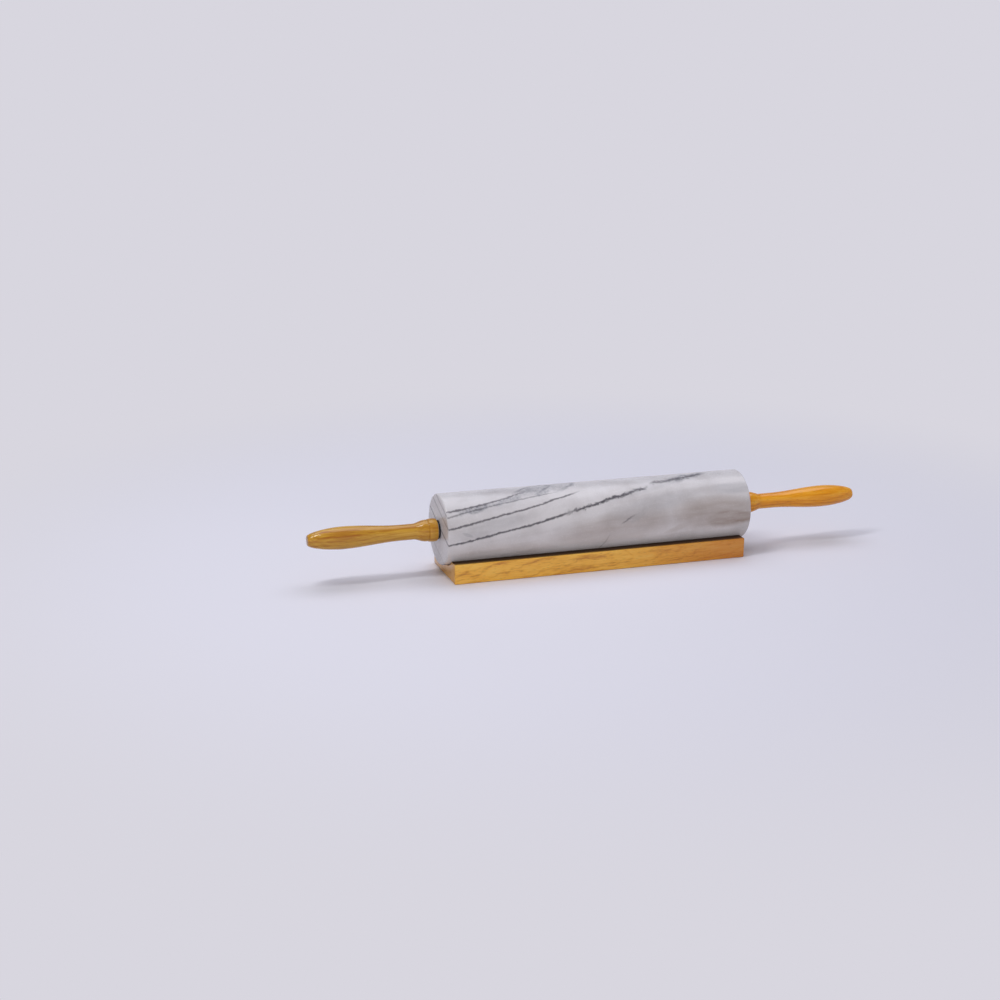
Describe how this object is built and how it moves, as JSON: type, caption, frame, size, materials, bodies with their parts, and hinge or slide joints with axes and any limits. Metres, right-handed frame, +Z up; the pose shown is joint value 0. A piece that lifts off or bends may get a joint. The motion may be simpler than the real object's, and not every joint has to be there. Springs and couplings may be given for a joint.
{
  "type": "rolling pin",
  "caption": "Rolling pin with a marble barrel that turns on a steel axle, turned wooden handles, and a grooved wooden cradle to rest it on.",
  "frame": {"origin": "under the middle of the cradle, on its flat underside", "axes": "+X along the barrel's axis, +Y across the cradle, +Z up"},
  "size_m": [0.462, 0.057, 0.0649],
  "materials": {
    "marble": "polished",
    "handle_wood": "varnished",
    "cradle_wood": "varnished",
    "steel": "satin",
    "brass": "satin",
    "nylon": "matte"
  },
  "bodies": {
    "cradle": {"cradle": "cradle_wood"},
    "handle_set": {"axle_rod": "steel", "left_washer": "steel", "right_washer": "steel", "left_insert": "brass", "right_insert": "brass", "left_handle": "handle_wood", "right_handle": "handle_wood"},
    "roller": {"barrel": "marble", "left_bearing": "nylon", "right_bearing": "nylon"}
  },
  "joints": [
    {"name": "pin_lift", "type": "slide", "parent": "cradle", "child": "handle_set", "axis": [0, 0, 1], "range_m": [0, 0.08]},
    {"name": "barrel_spin", "type": "hinge", "parent": "handle_set", "child": "roller", "pos_m": [0, 0, 0.0369], "axis": [1, 0, 0], "continuous": true}
  ]
}
